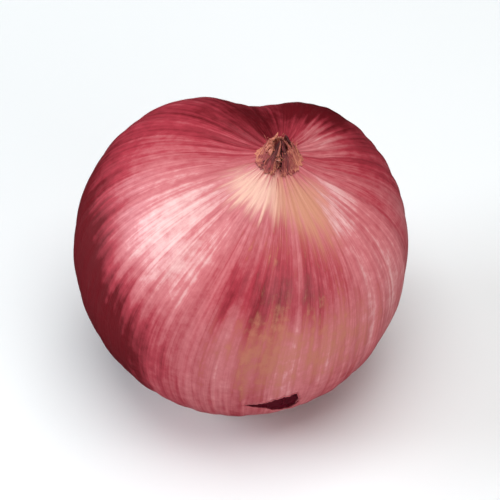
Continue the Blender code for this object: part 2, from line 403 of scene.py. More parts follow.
def surface_normals(points):
    """Outward normals of a closed grid of points whose rows are rings that go up."""
    sideways = np.roll(points, -1, axis=1) - np.roll(points, 1, axis=1)
    return unit(np.cross(sideways, np.gradient(points, axis=0)))


def ring_faces(rings, segments):
    """Quads between neighbouring rings of vertices that are numbered ring by ring."""
    ring, segment = np.meshgrid(np.arange(rings - 1), np.arange(segments), indexing="ij")
    here = ring * segments + segment
    beside = ring * segments + (segment + 1) % segments
    return np.stack([here, beside, beside + segments, here + segments], axis=-1).reshape(-1, 4)


def around(segments):
    """A row of azimuths, evenly spaced."""
    return (np.arange(segments) / segments * TURN)[None, :]


def capped(rings, segments):
    """The faces of a closed body of rings: its sides and a flat cap at each end."""
    top = (rings - 1) * segments
    return [*ring_faces(rings, segments), list(range(segments))[::-1], list(range(top, top + segments))]


def sheet(grid, thickness):
    """Points and faces of a thin closed sheet: an open grid, a copy behind it, and the rim between them.
    The rows go up and the columns go round, seen from its face."""
    rows, columns = grid.shape[:2]
    normals = unit(np.cross(np.gradient(grid, axis=1), np.gradient(grid, axis=0)))
    number_of = np.arange(rows * columns).reshape(rows, columns)
    here = number_of[:-1, :-1]
    front = np.stack([here, here + 1, here + columns + 1, here + columns], axis=-1).reshape(-1, 4)
    edge = np.concatenate([
        number_of[0, :-1], number_of[:-1, -1], number_of[-1, :0:-1], number_of[:0:-1, 0],
    ])
    after = np.roll(edge, -1)
    behind = rows * columns
    rim = np.stack([after, edge, edge + behind, after + behind], axis=-1)
    points = np.concatenate([grid.reshape(-1, 3), (grid - normals * thickness).reshape(-1, 3)])
    return points, np.concatenate([front, front[:, ::-1] + behind, rim])


def tube(route, radii, sides=6):
    """Points and faces of a closed tube along a route."""
    askew = (0.13, -0.21, 0.97)  # a direction that no route follows
    ahead = unit(np.gradient(route, axis=0))
    aside = unit(np.cross(ahead, askew))
    other = np.cross(ahead, aside)
    angle_of = around(sides)[..., None]
    ring = np.cos(angle_of) * aside[:, None] + np.sin(angle_of) * other[:, None]
    points = (route[:, None] + ring * np.asarray(radii)[:, None, None]).reshape(-1, 3)
    return points, capped(len(route), sides)


def gather(parts):
    """Joins (points, faces, fields) of many parts into one set of each."""
    points, faces, fields, start = [], [], {}, 0
    for part_points, part_faces, part_fields in parts:
        points.append(part_points)
        faces.extend([[place + start for place in face] for face in part_faces])
        for field, values in part_fields.items():
            fields.setdefault(field, []).append(values)
        start += len(part_points)
    fields = {field: np.concatenate(values) for field, values in fields.items()}
    return np.concatenate(points), faces, fields


def make_piece(name, points, faces, material, fields):
    """A smooth mesh object that rides on the bulb, with its fields kept for its material."""
    mesh = bpy.data.meshes.new(name)
    mesh.from_pydata(np.asarray(points).reshape(-1, 3).tolist(), [], [list(face) for face in faces])
    for field, values in fields.items():
        values = np.asarray(values, np.float32).ravel()
        kind, part = ("FLOAT", "value") if len(values) == len(mesh.vertices) else ("FLOAT_VECTOR", "vector")
        mesh.attributes.new(field, kind, "POINT").data.foreach_set(part, values)
    if mesh.validate():
        raise RuntimeError(f"{name} has faces that don't hold")
    mesh.shade_smooth()
    mesh.materials.append(material)
    piece = bpy.data.objects.new(name, mesh)
    bpy.context.scene.collection.objects.link(piece)
    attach(piece, BODY)
    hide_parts(NODE)


def make_joined(name, parts, material):
    """Makes one piece of many parts."""
    points, faces, fields = gather(parts)
    make_piece(name, points, faces, material, fields)


def set_inputs(tree, node, inputs):
    """Gives a node its inputs. Each is a value or a socket to link."""
    for name, value in inputs.items():
        if isinstance(value, bpy.types.NodeSocket):
            tree.links.new(value, node.inputs[name])
        else:
            node.inputs[name].default_value = value


def add_node(tree, kind, inputs=None, out=0, stops=(), **settings):
    """Adds a node with its inputs, its settings and its ramp's stops. Returns the output that is asked
    for."""
    node = tree.nodes.new(kind)
    for name, value in settings.items():
        setattr(node, name, value)
    set_inputs(tree, node, inputs or {})
    for place, (position, stop) in enumerate(stops):
        if place > 1:
            node.color_ramp.elements.new(position)
    for element, (position, stop) in zip(node.color_ramp.elements if stops else (), sorted(stops)):
        element.position, element.color = position, stop
    return node.outputs[out]


def new_material(name):
    """A new material, its node tree and its shader."""
    material = bpy.data.materials.new(name)
    material.use_nodes = True
    return material, material.node_tree, material.node_tree.nodes["Principled BSDF"]


def outer_scale(finish):
    """Dry outer scale of a shallot, cured to paper in the field: a thin satin film over moist flesh. Its long
    fibres streak it from neck to root, and the pigment under it shows through unevenly. Its colour also
    carries painted shade on the left flank, in the furrow and in the slit, and a painted highlight on the pale
    cheek."""
    material, tree, shader = new_material("dry outer scale, field cured")
    place = add_node(tree, "ShaderNodeAttribute", out="Vector", attribute_name="skin_mm")
    pigment, film, fan, gold, tear = (
        add_node(tree, "ShaderNodeAttribute", out="Fac", attribute_name=field)
        for field in ("pigment", "film", "fan", "gold", "tear")
    )
    # A streak is 25 times as long as it is wide. The noises repeat after 5, 1.6 and 0.5 mm, and the mottling
    # after about 1.1 mm
    drawn = add_node(tree, "ShaderNodeVectorMath", {0: place, 1: (1.0, 1.0, 0.04)}, operation="MULTIPLY")
    wide, middle, fine = (
        add_node(tree, "ShaderNodeTexNoise", {"Vector": drawn, "Scale": 1.0 / apart, "Detail": 2.0})
        for apart in (5.0, 1.6, 0.5)
    )
    mottle = add_node(
        tree, "ShaderNodeTexNoise", {"Vector": place, "Scale": 0.9, "Detail": 4.0, "Roughness": 0.65}
    )
    # A vein runs where the middle noise crosses its mean, so that veins wander and never cross
    crossing = add_node(tree, "ShaderNodeMath", {0: middle, 1: 0.5}, operation="SUBTRACT")
    crossing = add_node(tree, "ShaderNodeMath", {0: crossing}, operation="ABSOLUTE")
    vein = add_node(
        tree, "ShaderNodeMapRange", {0: crossing, 1: 0.0, 2: 0.022, 3: 1.0, 4: 0.0},
        interpolation_type="SMOOTHSTEP",
    )
    for source, weight in ((wide, 0.50), (middle, 0.38), (fine, 0.42), (mottle, 0.42), (vein, 0.06)):
        pigment = add_node(tree, "ShaderNodeMath", {0: source, 1: weight, 2: pigment}, **ADD_UP)
    skin = add_node(tree, "ShaderNodeValToRGB", {0: pigment}, stops=(
        (0.08, finish.blush_and_highlight), (0.32, finish.rose), (0.62, finish.crimson), (0.92, finish.deep),
    ))
    for source, weight in ((middle, 0.8), (fine, 1.0), (mottle, 1.6)):
        film = add_node(tree, "ShaderNodeMath", {0: source, 1: weight, 2: film}, **ADD_UP)
    film = add_node(
        tree, "ShaderNodeMapRange", {0: film, 1: 2.15, 2: 2.95, 3: 0.0, 4: 0.8},
        interpolation_type="SMOOTHSTEP",
    )
    skin = add_node(tree, "ShaderNodeMix", {0: film, 6: skin, 7: finish.tan}, out=2, data_type="RGBA")
    for source, weight in ((wide, 0.5), (middle, 0.8), (fine, 0.9), (mottle, 0.8)):
        fan = add_node(tree, "ShaderNodeMath", {0: source, 1: weight, 2: fan}, **ADD_UP)
    fan = add_node(
        tree, "ShaderNodeMapRange", {0: fan, 1: 1.85, 2: 2.85, 3: 0.0, 4: 0.85},
        interpolation_type="SMOOTHSTEP",
    )
    fibre = add_node(
        tree, "ShaderNodeMix", {0: gold, 6: finish.cream, 7: finish.gold}, out=2, data_type="RGBA"
    )
    skin = add_node(tree, "ShaderNodeMix", {0: fan, 6: skin, 7: fibre}, out=2, data_type="RGBA")
    # Inside the slit the moist next scale shows, darkened further by painted shade of the slit
    tear = add_node(
        tree, "ShaderNodeMapRange", {0: tear, 1: -0.06, 2: 0.06}, interpolation_type="SMOOTHSTEP"
    )
    skin = add_node(tree, "ShaderNodeMix", {0: tear, 6: skin, 7: finish.moist}, out=2, data_type="RGBA")
    gloss = add_node(tree, "ShaderNodeMapRange", {0: fine, 1: 0.3, 2: 0.7, 3: 0.38, 4: 0.50})
    gloss = add_node(tree, "ShaderNodeMath", {0: tear, 1: -0.12, 2: gloss}, **ADD_UP)
    # Fibres about 0.1 mm apart, drawn 0.18 mm apart so that they show
    grain = add_node(tree, "ShaderNodeVectorMath", {0: place, 1: (1.0, 1.0, 0.10)}, operation="MULTIPLY")
    height = add_node(tree, "ShaderNodeTexNoise", {"Vector": grain, "Scale": 1.0 / 0.18, "Detail": 2.0})
    for source, weight in ((middle, 2.0), (fine, 1.5), (mottle, 0.8), (film, 0.6)):
        height = add_node(tree, "ShaderNodeMath", {0: source, 1: weight, 2: height}, **ADD_UP)
    bump = add_node(tree, "ShaderNodeBump", {"Height": height, "Strength": 0.45, "Distance": 0.00006})
    set_inputs(tree, shader, {"Base Color": skin, "Roughness": gloss, "IOR": 1.42, "Normal": bump})
    return material


def dried_paper(name, first, second):
    """Withered leaf tissue: dull brittle paper whose fibres run along it, in blotches where it dried
    unevenly."""
    material, tree, shader = new_material(name)
    place = add_node(tree, "ShaderNodeAttribute", out="Vector", attribute_name="paper_mm")
    share = add_node(tree, "ShaderNodeAttribute", out="Fac", attribute_name="tint")
    drawn = add_node(tree, "ShaderNodeVectorMath", {0: place, 1: (1.0, 1.0, 0.12)}, operation="MULTIPLY")
    fibre = add_node(tree, "ShaderNodeTexNoise", {"Vector": drawn, "Scale": 1.0 / 0.18, "Detail": 3.0})
    blotch = add_node(tree, "ShaderNodeTexNoise", {"Vector": place, "Scale": 1.0 / 0.8, "Detail": 3.0})
    for source, weight in ((fibre, 1.2), (blotch, 0.8)):
        share = add_node(tree, "ShaderNodeMath", {0: source, 1: weight, 2: share}, **ADD_UP)
    share = add_node(tree, "ShaderNodeMapRange", {0: share, 1: 1.0, 2: 2.0})
    paper = add_node(tree, "ShaderNodeMix", {0: share, 6: first, 7: second}, out=2, data_type="RGBA")
    bump = add_node(tree, "ShaderNodeBump", {"Height": fibre, "Strength": 0.6, "Distance": 0.00005})
    set_inputs(tree, shader, {"Base Color": paper, "Roughness": 0.68, "IOR": 1.5, "Normal": bump})
    return material


def cork_plate(finish):
    """Corky root plate, dried with the soil brushed off: dull, in rings, darker in its grooves."""
    material, tree, shader = new_material("corky root plate, dried")
    place = add_node(tree, "ShaderNodeAttribute", out="Vector", attribute_name="plate_mm")
    dark = add_node(tree, "ShaderNodeAttribute", out="Fac", attribute_name="groove")
    pits = add_node(
        tree, "ShaderNodeTexNoise", {"Vector": place, "Scale": 1.0 / 0.35, "Detail": 4.0, "Roughness": 0.7}
    )
    dark = add_node(tree, "ShaderNodeMath", {0: pits, 1: 2.0, 2: dark}, **ADD_UP)
    dark = add_node(tree, "ShaderNodeMapRange", {0: dark, 1: 0.8, 2: 2.2})
    cork = add_node(
        tree, "ShaderNodeMix", {0: dark, 6: finish.cork, 7: finish.cork_dark}, out=2, data_type="RGBA"
    )
    bump = add_node(tree, "ShaderNodeBump", {"Height": pits, "Strength": 0.8, "Distance": 0.0001})
    set_inputs(tree, shader, {"Base Color": cork, "Roughness": 0.85, "Normal": bump})
    return material


def rootlet_fibre(finish):
    """Dried rootlets: dull wiry fibre, straw at the tips and stained by soil at the foot."""
    material, tree, shader = new_material("rootlet fibre, dried")
    place = add_node(tree, "ShaderNodeAttribute", out="Vector", attribute_name="root_mm")
    along = add_node(tree, "ShaderNodeAttribute", out="Fac", attribute_name="along")
    stain = add_node(tree, "ShaderNodeTexNoise", {"Vector": place, "Scale": 1.0 / 0.6, "Detail": 3.0})
    along = add_node(tree, "ShaderNodeMath", {0: stain, 1: 1.6, 2: along}, **ADD_UP)
    along = add_node(tree, "ShaderNodeMapRange", {0: along, 1: 0.6, 2: 1.8})
    fibre = add_node(
        tree, "ShaderNodeMix", {0: along, 6: finish.soil, 7: finish.straw}, out=2, data_type="RGBA"
    )
    bump = add_node(tree, "ShaderNodeBump", {"Height": stain, "Strength": 0.5, "Distance": 0.00005})
    set_inputs(tree, shader, {"Base Color": fibre, "Roughness": 0.8, "Normal": bump})
    return material


def white_board(setting):
    """Matt white melamine board: even and pale, with a faint soft cloudiness 25 mm across."""
    material, tree, shader = new_material("matt white melamine board")
    place = add_node(tree, "ShaderNodeTexCoord", out="Object")
    cloud = add_node(tree, "ShaderNodeTexNoise", {"Vector": place, "Scale": 1.0 / (25.0 * MM), "Detail": 2.0})
    cloud = add_node(tree, "ShaderNodeMapRange", {0: cloud, 1: 0.3, 2: 0.7, 3: 0.0, 4: 0.03})
    board = add_node(
        tree, "ShaderNodeMix", {0: cloud, 6: setting.floor, 7: (0.8, 0.8, 0.8, 1.0)}, out=2, data_type="RGBA"
    )
    set_inputs(tree, shader, {"Base Color": board, "Roughness": 0.6})
    return material


# Slow zones of the skin: azimuth and half width in degrees, share and half height, and how much they add
PIGMENT_AND_PAINTED_LIGHT_ZONES = (
    # The dark left flank: partly deeper pigment and partly painted shade
    (190, 0.46, 38, 0.16, 0.56),
    (214, 0.45, 25, 0.11, 0.30),
    # A pale cheek at the front left and up to the neck, partly paler pigment and partly a painted highlight,
    # and its darker edge
    (205, 0.640, 27, 0.095, -0.32),
    (172, 0.700, 16, 0.040, -0.06),
    (224, 0.58, 16, 0.06, -0.18),
    (229, 0.65, 14, 0.06, -0.12),
    (214, 0.72, 28, 0.05, -0.12),
    (256, 0.67, 9, 0.08, 0.14),
    # The furrow behind the neck, and the back of the right lobe: partly deeper pigment and partly painted
    # shade
    (112, 0.78, 52, 0.11, 0.40),
    (58, 0.70, 40, 0.12, 0.42),
    # Paler patches behind the neck and to its right
    (54, 0.785, 26, 0.042, -0.46),
    (340, 0.785, 20, 0.040, -0.24),
    # A darker streak at the front right
    (296, 0.660, 15, 0.090, 0.24),
    # The left flank's deeper pigment and painted shade, round to the back and down to the root
    (150, 0.42, 44, 0.20, 0.24),
    (186, 0.24, 40, 0.13, 0.34),
    # Crimson streaks below the neck
    (258, 0.645, 5, 0.035, 0.18),
    (268, 0.650, 5, 0.050, 0.20),
    (279, 0.655, 6, 0.050, 0.20),
    (289, 0.645, 4, 0.030, 0.14),
    # The paler right flank
    (330, 0.58, 36, 0.16, -0.14),
    (322, 0.69, 18, 0.05, -0.06),
    (322, 0.750, 16, 0.040, -0.18),
    # The front near the root
    (282, 0.46, 50, 0.12, -0.08),
    (292, 0.49, 16, 0.10, 0.08),
)
FILM_ZONES = (
    # The front, below the neck, and the back right
    (288, 0.54, 45, 0.13, 1.05),
    (268, 0.74, 26, 0.04, 0.60),
    (60, 0.45, 50, 0.12, 0.75),
    # No film on the left flank, nor in the furrow up to the neck, which keeps their painted shade dark crimson
    (190, 0.50, 45, 0.20, -0.80),
    (115, 0.85, 42, 0.030, -1.10),
)
FAN_ZONES = (
    # Cream, at the front left of the neck
    (224, 0.808, 34, 0.044, 1.20),
    # Gold, at its front and right
    (306, 0.800, 24, 0.048, 0.90),
    (304, 0.740, 23, 0.070, 0.55),
    (268, 0.812, 24, 0.038, 0.85),
    (334, 0.808, 20, 0.026, 0.50),
)


def zones(azimuth, share, spots):
    """The sum of some soft spots on the skin."""
    total = 0.0
    for middle, level, wide, high, amount in spots:
        across = bell(turn_between(azimuth, math.radians(middle)), math.radians(wide))
        total = total + amount * across * bell(share - level, high)
    return total


def tear_inside(finish, azimuth, share):
    """How far inside the torn slit a point is, as a share, and below 0 outside it. The slit is a wedge with
    its wide end on the right."""
    along = turn_between(azimuth, finish.tear_azimuth) / finish.tear_turn
    inside = tear_half(finish, along) - np.abs(share - tear_middle(finish, along))
    return np.clip(inside, -SLIT_REACH, SLIT_REACH) / SLIT_REACH


def tear_middle(finish, along):
    """The share of the slit's middle, from its left end (-1) to its right end (1)."""
    return finish.tear_share + finish.tear_tilt * np.clip(-along, -1.0, 1.0)


def tear_half(finish, along):
    """Half the height of the slit, as a share, from its left end (-1) to its right end (1)."""
    wedge = between(0.08, 1.0, np.clip((along + 1.0) / 1.7, 0.0, 1.0) ** 1.5)
    ends = np.clip(1.0 - np.abs(along) ** 7, -1.0, 1.0)
    ragged = 1.0 + sum(amount * np.sin(turns * along + start) for turns, start, amount in SLIT_WAVES)
    return np.where(np.abs(along) < 1.0, finish.tear_half * wedge * ends * ragged, -SLIT_REACH)


def skin_rings():
    """The share of each ring of the skin: close together at the neck, about 0.28 mm apart on the body. The
    first and the last stay clear of the axis, so that no face shrinks to a line."""
    hollow_end = between(RIM_SHARE, 1.0, 0.7)
    rings = [
        np.linspace(start, end, rows, endpoint=False) for start, end, rows in (
            (0.3 * FOOT_SHARE, FOOT_SHARE, 3),
            (FOOT_SHARE, PLATE_SHARE, 8),
            (PLATE_SHARE, EQUATOR_SHARE, 84),
            (EQUATOR_SHARE, NECK_FOOT_SHARE, 88),
            (NECK_FOOT_SHARE, LIP_SHARE, 14),
        )
    ]
    return np.concatenate([*rings, np.linspace(LIP_SHARE, hollow_end, 8)])


def skin_relief(finish, azimuth, share):
    """How far the skin lies below the plain bulb, in metres."""
    draw = np.random.default_rng(finish.seed)
    body = smooth(stretch(share, PLATE_SHARE, 2.0 * PLATE_SHARE))
    body = body * (1.0 - smooth(stretch(share, NECK_FOOT_SHARE, LIP_SHARE)))
    near_neck = smooth(stretch(share, 0.66, 0.78))
    near_neck = near_neck * (1.0 - 0.5 * smooth(stretch(share, 0.80, NECK_FOOT_SHARE)))
    near_root = 1.0 - smooth(stretch(share, PLATE_SHARE, 0.30))
    dents = finish.dent_depth * (0.5 + 0.5 * ripples(draw, azimuth, share, (1, 6), 2.5))
    flutes = finish.flute_depth * (0.5 + 0.5 * ripples(draw, azimuth, share, (16, 60), 0.4, 16))
    folds = 0.5 + 0.5 * ripples(draw, azimuth, share, (24, 54), 0.6, 16)
    wrinkles = finish.wrinkle_depth * folds * (near_neck + near_root)
    return -(dents + flutes * (1.0 - 0.6 * near_neck) + wrinkles) * body


def cleft(finish, azimuth, share):
    """How far the papery wall of the neck is parted at the front, from 0 to 1."""
    across = bell(turn_between(azimuth, finish.cleft_azimuth), finish.cleft_width)
    return across * smooth(stretch(share, 0.815, 0.86))


def make_skin(form, finish, neck):
    """The dry outer scale, from under the plate over the body and into the neck, with the torn slit."""
    azimuth = around(SKIN_SEGMENTS)
    share = skin_rings()[:, None]
    draw = np.random.default_rng(neck.seed)
    torn = neck.lip_wear * (0.5 + 0.5 * ripples(draw, azimuth, 0.0, (3, 31), 0.0, 14))
    points = bulb_point(form, azimuth, share, torn)
    tear = tear_inside(finish, azimuth, share)
    depth = skin_relief(finish, azimuth, share) - finish.tear_depth * smooth(3.0 * tear)
    depth = depth - neck.cleft_depth * cleft(neck, azimuth, share) * (share < RIM_SHARE)
    points = points + surface_normals(points) * depth[..., None]
    # The plate piece covers the foot, so the skin is tucked in above it
    tuck = 1.0 - smooth(stretch(share, FOOT_SHARE, PLATE_SHARE + 0.01))
    points[..., :2] *= between(1.0, 0.8, tuck)[..., None]
    points[..., 2] = np.maximum(points[..., 2], 0.0003) + 0.0005 * tuck
    reach = equator_radius(form) / MM
    place = np.stack(np.broadcast_arrays(
        reach * np.cos(azimuth), reach * np.sin(azimuth), MERIDIAN_MM * share
    ), axis=-1)
    # Each zone ends in streaks of uneven length
    frayed = share + finish.fray * ripples(draw, azimuth, share, (12, 90), 0.6, 24)
    at_neck = smooth(stretch(between(share, frayed, 0.5), 0.826, 0.862))
    fields = {
        "skin_mm": place,
        # The pigment field also carries painted shade on the left flank and in the furrow, and a painted
        # highlight on the pale cheek
        "pigment": -0.40 + zones(azimuth, frayed, PIGMENT_AND_PAINTED_LIGHT_ZONES),
        "film": zones(azimuth, frayed, FILM_ZONES) + 1.6 * at_neck,
        "fan": zones(azimuth, between(share, frayed, 0.45), FAN_ZONES) * (1.0 - at_neck),
        "gold": smooth(turn_between(azimuth, math.radians(250.0)) / 0.6) + 0.0 * share,
        "tear": tear,
    }
    make_piece("outer_skin", points, capped(len(share), SKIN_SEGMENTS), outer_scale(finish), fields)


def paper(grid, thickness, tint, drawn):
    """One strip of dried paper as a closed sheet, with the fields of its material."""
    points, faces = sheet(grid, thickness)
    rows, columns = grid.shape[:2]
    column_mm, row_mm = 0.18, 0.20
    across = np.linspace(0.0, columns * column_mm, columns)[None, :] + np.zeros((rows, 1))
    along = np.linspace(0.0, rows * row_mm, rows)[:, None] + 0.0 * across
    place = np.stack([across + drawn, across * 0.3 - drawn, along], axis=-1).reshape(-1, 3)
    tints = (np.zeros((rows, columns)) + tint).ravel()
    both_sides = {"paper_mm": np.concatenate([place, place]), "tint": np.concatenate([tints, tints])}
    return points, faces, both_sides


def make_tear(form, finish, neck):
    """The papery edges of the slit, which have dried and curled away from the scale below."""
    draw = np.random.default_rng(finish.seed + 1)
    parts = []
    for side in (1.0, -1.0):
        along = np.linspace(-0.995, 0.995, 110)[None, :]
        across = np.linspace(0.0, 1.0, 7)[:, None]
        ragged = 0.55 + 0.45 * ripples(draw, along * 3.0, 0.0, (2, 16), 1.0)
        azimuth = finish.tear_azimuth + finish.tear_turn * along
        edge = tear_half(finish, along)
        inward = finish.tear_curl * ragged * (1.0 - along ** 6)
        share = tear_middle(finish, along) + side * (edge + between(0.0012, -inward, across))
        grid = bulb_point(form, azimuth, share)
        normals = unit(np.cross(np.gradient(grid, axis=1), np.gradient(grid, axis=0)) * -side)
        lift = between(-0.00008, 0.00006, across ** 1.5) + skin_relief(finish, azimuth, share)
        grid = grid + normals * lift[..., None]
        if side > 0:
            grid = grid[::-1]
        parts.append(paper(grid, neck.paper_thickness * 0.7, 0.35 + 0.4 * across, 3.0 * side))
    material = dried_paper("torn skin edge, dried", finish.rose, finish.crimson)
    make_joined("torn_skin_edges", parts, material)


def neck_grid(form, azimuth, up, flare):
    """A grid of points on the neck: up is 0 on the skin a little way out, 1 at the neck's foot and 2 at
    the lip, and flare moves them outwards."""
    way_out, sag = 0.0004, 0.00008
    on_skin = up < 1.0
    neck_radius = between(form.neck_radius, form.lip_radius, up - 1.0)
    neck_height = between(form.dome_height + form.neck_rise, form.neck_height, up - 1.0)
    radius = np.where(on_skin, form.neck_radius + way_out * (1.0 - up), neck_radius)
    skin_height = form.dome_height + form.neck_rise * np.exp((form.neck_radius - radius) / form.neck_sweep)
    height = np.where(on_skin, skin_height - sag * (1.0 - up), neck_height)
    out = np.maximum(radius + pinch(form, azimuth, radius) + flare, 0.0001)
    return bent(form, out, azimuth, height - equator_height(form), height)


def neck_paper(form, neck, draw, middle, half, top, lean, tint):
    """One ragged strip of dried leaf base that hugs the neck and stands up to a torn tip."""
    across = np.linspace(-1.0, 1.0, 21)[None, :]
    up = np.linspace(0.0, 1.0, 24)[:, None]
    tip = 1.0 - 0.75 * np.abs(across - draw.uniform(-0.5, 0.5)) ** 1.4
    tip = tip + 0.16 * ripples(draw, across * 2.0, 0.0, (2, 10), 0.0)
    foot = 0.20 + 0.60 * ripples(draw, across * 2.0, 0.0, (1, 6), 0.0)
    climb = between(foot, between(1.15, top, np.clip(tip, 0.0, 1.0)), up)
    above = smooth(stretch(climb, 1.1, 2.5))
    azimuth = middle + half * across * (1.0 - 0.5 * above) + draw.uniform(-0.35, 0.35) * above
    crumple = ripples(draw, across * 3.0, up, (1, 7), 1.5) * smooth(3.0 * up)
    grid = neck_grid(form, azimuth, climb, 0.00012 + lean * above + neck.crumple * crumple)
    tints = tint - 0.2 + 0.6 * up + 0.2 * crumple
    return paper(grid, neck.paper_thickness, tints, draw.uniform(0.0, 40.0))


def make_neck(form, neck):
    """The papers that hug the neck, its shrivelled dark core, whose dark brown is partly painted shade of the
    hollow, and the loose fibres at its torn lip.
    """
    draw = np.random.default_rng(neck.seed)
    pale, dark = [], []
    for place in range(neck.papers):
        middle = neck.cleft_azimuth + TURN * (place + 0.5 + draw.uniform(-0.2, 0.2)) / neck.papers
        gap = abs(float(turn_between(middle, neck.cleft_azimuth)))
        half = min(draw.uniform(0.30, 0.60), gap - 0.5 * neck.cleft_width)
        pale.append(neck_paper(form, neck, draw, middle, half, draw.uniform(1.7, 2.6),
                               draw.uniform(-0.0009, -0.0002), draw.uniform(0.0, 0.9)))
    # One long pale paper on the left, and three dark ones that lean in over the core
    pale.append(neck_paper(form, neck, draw, math.radians(176.0), 0.34, 2.8, -0.0005, -0.5))
    for degrees, top, lean, tint in ((40.0, 2.7, -0.0006, 0.5), (-60.0, 2.3, -0.0009, 0.2),
                                     (-125.0, 2.4, -0.0009, 0.3)):
        dark.append(neck_paper(form, neck, draw, math.radians(degrees), 0.40, top, lean, tint))
    dark.append(neck_core(form, draw))
    for _ in range(neck.fibres):
        pale.append(neck_fibre(form, draw))
    bleached = dried_paper("withered leaf base, sun bleached", neck.pale, neck.tan)
    browned = dried_paper("withered leaf base, browned inside with painted shade", neck.tan, neck.brown_and_shade)
    make_joined("neck_papers", pale, bleached)
    make_joined("neck_core", dark, browned)


def neck_core(form, draw):
    """The shrivelled inner leaves: a crumpled, twisted plug that fills the hollow nearly to the lip. Its dark
    brown is partly their own colour and partly painted shade of the hollow.
    """
    segments, rings = 72, 20
    azimuth = around(segments)
    up = np.linspace(0.0, 1.0, rings)[:, None]
    crumple = ripples(draw, azimuth + 0.9 * up, 0.6 * up, (3, 17), 1.2, 14)
    radius = (form.lip_radius - form.lip_thickness) * (1.0 - 0.8 * up ** 1.6) * (0.92 + 0.34 * crumple)
    height = form.neck_height + between(-0.0016, 0.0002, up) + 0.00025 * crumple * up
    points = bent(form, radius, azimuth, height - equator_height(form), height)
    out = radius / MM
    place = np.stack([out * np.cos(azimuth), out * np.sin(azimuth), 2.0 * up + 0.0 * azimuth], axis=-1)
    fields = {"paper_mm": place.reshape(-1, 3), "tint": (0.7 - 0.9 * crumple).ravel()}
    return points.reshape(-1, 3), capped(rings, segments), fields


def neck_fibre(form, draw):
    """One loose thread that curls out from the torn lip."""
    steps = np.linspace(0.0, 1.0, 10)
    azimuth = draw.uniform(0.0, TURN) + draw.uniform(-0.5, 0.5) * steps ** 2
    top = draw.uniform(1.7, 2.35)
    flare = 0.0001 + draw.uniform(-0.0002, 0.0007) * steps ** 2 + 0.0001 * np.sin(7.0 * steps)
    route = neck_grid(form, azimuth, between(1.0, top, steps), flare)
    radii = between(0.000035, 0.000015, steps)
    points, faces = tube(route, radii, 5)
    place = np.repeat(np.stack([steps, steps, 2.0 * steps], axis=-1), 5, axis=0)
    return points, faces, {"paper_mm": place, "tint": np.full(len(points), draw.uniform(-0.4, 0.3))}


def make_root(form, root):
    """The corky plate, the rootlets round it and the torn hem of the skin."""
    draw = np.random.default_rng(root.seed)
    make_plate(form, root, draw)
    rootlets = [rootlet(form, root, draw, place) for place in range(root.rootlets)]
    make_joined("rootlets", rootlets, rootlet_fibre(root))
    flaps = [hem_flap(form, root, draw, place) for place in range(root.hem_flaps)]
    make_joined("torn_hem", flaps, dried_paper("torn skin hem, dried", root.hem, root.hem_dark))


def make_plate(form, root, draw):
    """The root plate: flat below with rings and pits, a scalloped round rim, and closed inside the skin."""
    segments = 160
    azimuth = around(segments)
    flat = np.linspace(0.02, 1.0, 34, endpoint=False)
    rim = np.linspace(0.0, 1.0, 12)
    inside = np.array([0.5, 1.0])
    reach = plate_radius(form)
    radius = np.concatenate([
        form.foot_radius * flat, between(form.foot_radius, reach, np.sin(rim * math.pi / 2)),
        between(reach, 0.4 * reach, inside),
    ])[:, None]
    base = np.concatenate([0.0 * flat, form.plate_height * (1.0 - np.cos(rim * math.pi / 2)),
                           between(form.plate_height, root.plate_top, inside)])[:, None]
    ring = 0.5 + 0.5 * np.cos(TURN * radius / root.ring_spacing + 1.5 * np.sin(3.0 * azimuth))
    pits = 0.5 + 0.5 * ripples(draw, azimuth, radius / reach, (2, 30), 9.0, 14)
    below = (radius <= 1.01 * reach) * (base < form.plate_height)
    groove = (0.6 * ring + 0.4 * pits) * below
    scallop = 0.045 * np.cos(17.0 * azimuth + 0.8 * np.sin(2.0 * azimuth))
    out = radius * (1.0 + scallop * stretch(radius, 0.6 * reach, reach) * below)
    height = base + root.ring_depth * groove * (1.0 - stretch(radius, form.foot_radius, reach))
    points = upright_point(form, out, azimuth, height)
    # The rows go out and then up, so that the faces of the underside look down
    fields = {"plate_mm": points / MM, "groove": groove + 0.5 * bell(radius, 0.0012)}
    make_piece("root_plate", points, capped(len(radius), segments), cork_plate(root), fields)


def rootlet(form, root, draw, place):
    """One rootlet: out of the plate's rim, then curling between the floor and the skin above it."""
    steps = np.linspace(0.0, 1.0, 16)
    azimuth = TURN * (place + draw.uniform(-0.5, 0.5)) / root.rootlets
    reach = draw.uniform(root.rootlet_shortest, root.rootlet_longest)
    reach = reach * (1.0 - 0.6 * bell(turn_between(azimuth, root.trimmed_azimuth), 1.1))
    curl, phase = draw.uniform(-0.5, 0.5), draw.uniform(0.0, TURN)
    azimuth = azimuth + curl * steps ** 2 + 0.10 * np.sin(9.0 * steps + phase) * steps
    radius = between(0.80, 1.0, draw.uniform(0.0, 1.0)) * form.foot_radius + reach * steps
    thick = root.rootlet_radius * draw.uniform(0.6, 1.0) * between(1.0, 0.5, steps)
    low = thick + 0.00002
    high = np.maximum(low, underside(form, np.maximum(radius, plate_radius(form))) - thick - 0.00015)
    lift = draw.uniform(0.05, 1.0) * smooth(2.2 * steps) + 0.12 * np.sin(5.0 * steps + 2.0 * phase) * steps
    height = between(low, high, np.clip(lift, 0.0, 1.0))
    start = 0.0005 * (1.0 - smooth(3.0 * steps))
    route = upright_point(form, radius, azimuth, np.maximum(height, start))
    points, faces = tube(route, thick)
    along = np.repeat(steps, 6) + draw.uniform(-0.3, 0.3)
    return points, faces, {"root_mm": points / MM + draw.uniform(0.0, 9.0), "along": along}


